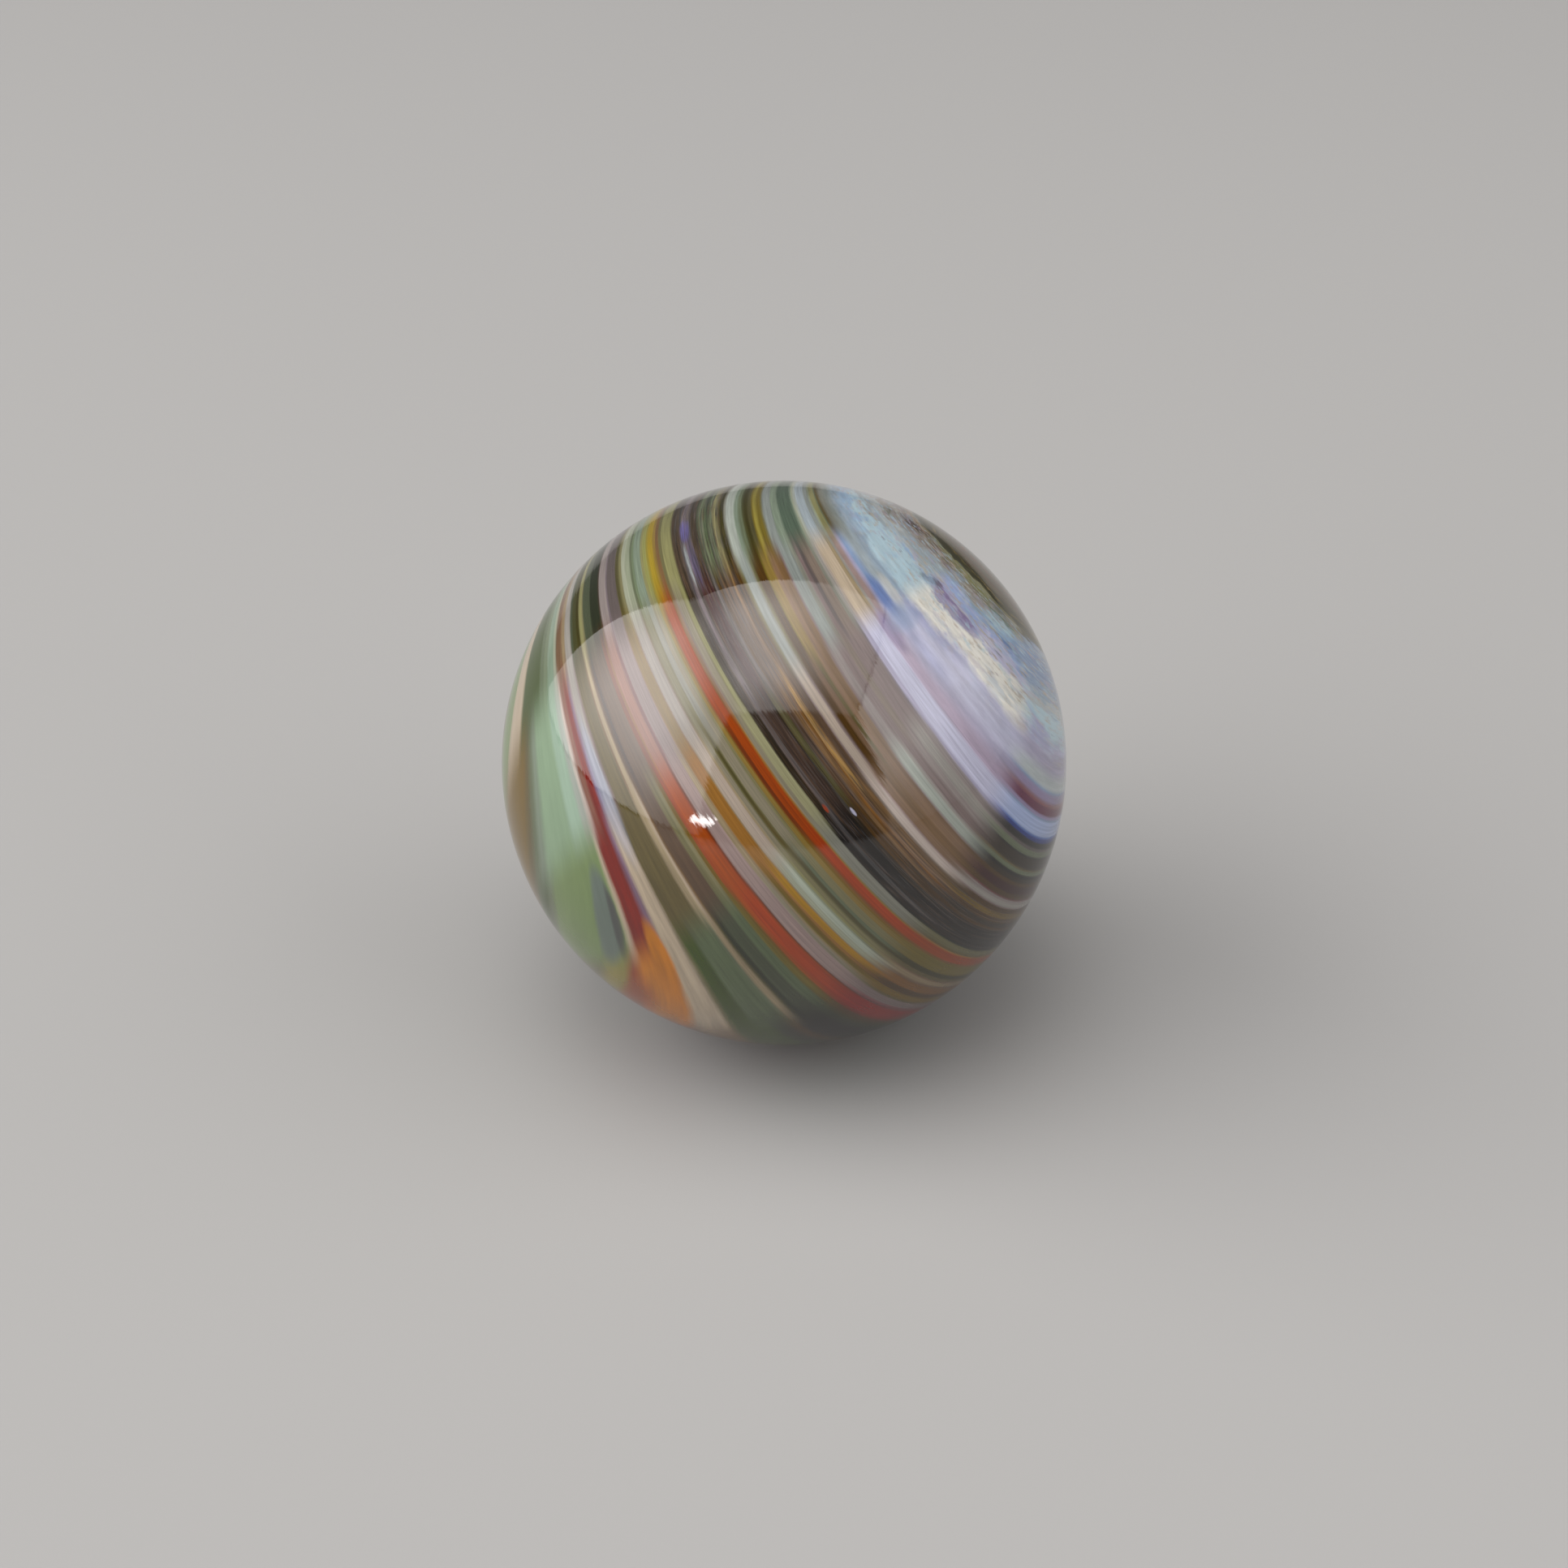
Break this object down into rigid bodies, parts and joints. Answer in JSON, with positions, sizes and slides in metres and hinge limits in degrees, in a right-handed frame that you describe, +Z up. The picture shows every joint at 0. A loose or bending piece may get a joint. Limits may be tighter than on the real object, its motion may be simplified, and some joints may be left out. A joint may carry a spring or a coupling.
{
  "type": "glass marble",
  "caption": "Solid round glass marble with twisted ribbons of opaque and clear coloured glass melted flush with its polished surface.",
  "frame": {"origin": "centre of the ball", "axes": "+Z up as the marble sits in the picture, +Y away from the camera, +X to the right; the poles of the swirl lie low on the left and high on the right"},
  "size_m": [0.028, 0.028, 0.028],
  "materials": {
    "swirl_glass": "fire-polished, glossy; ribbons of sage, cream, lilac, rust, amber and smoke glass with one opal ribbon"
  },
  "bodies": {
    "root": {"marble": "swirl_glass"}
  },
  "joints": []
}
